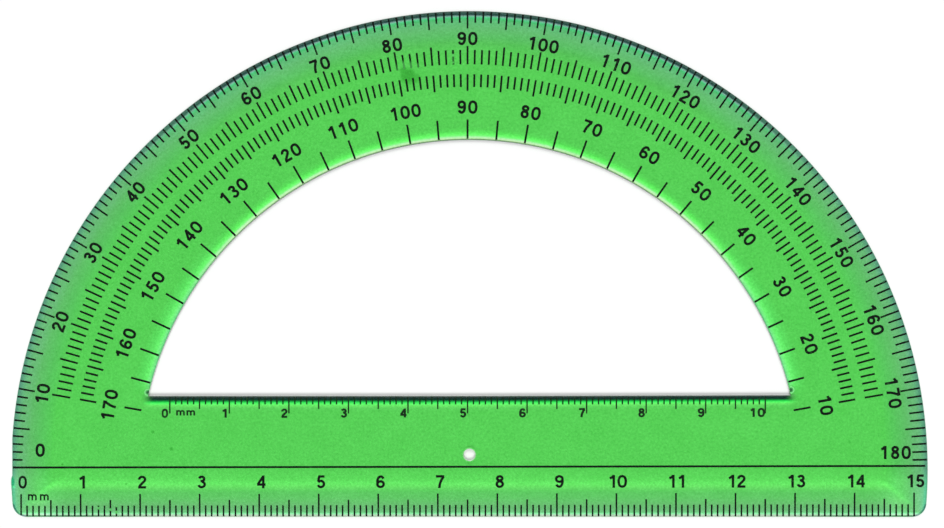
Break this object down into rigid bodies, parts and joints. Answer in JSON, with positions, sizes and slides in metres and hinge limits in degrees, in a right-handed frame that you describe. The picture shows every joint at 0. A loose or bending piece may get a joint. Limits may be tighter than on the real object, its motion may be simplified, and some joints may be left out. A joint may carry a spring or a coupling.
{
  "type": "semicircular protractor",
  "caption": "Clear green plastic half-round protractor with a D-shaped window, pin hole, bevelled edges, printed degree scales and straight rulers.",
  "frame": {"origin": "centre of the measuring arc, on the flat underside", "axes": "+X along the straight edge towards 15 cm, +Y at the 90 degree mark, +Z out of the printed face"},
  "size_m": [0.1541, 0.085, 0.0018],
  "materials": {
    "green_clear_plastic": "see-through green, smooth moulded",
    "black_ink": "black screen print, flat"
  },
  "bodies": {
    "root": {"protractor_plate": "green_clear_plastic", "base_line": "black_ink", "edge_degree_marks": "black_ink", "outer_degree_ring": "black_ink", "inner_degree_ring": "black_ink", "window_degree_marks": "black_ink", "base_ruler_marks": "black_ink", "window_ruler_marks": "black_ink"}
  },
  "joints": []
}
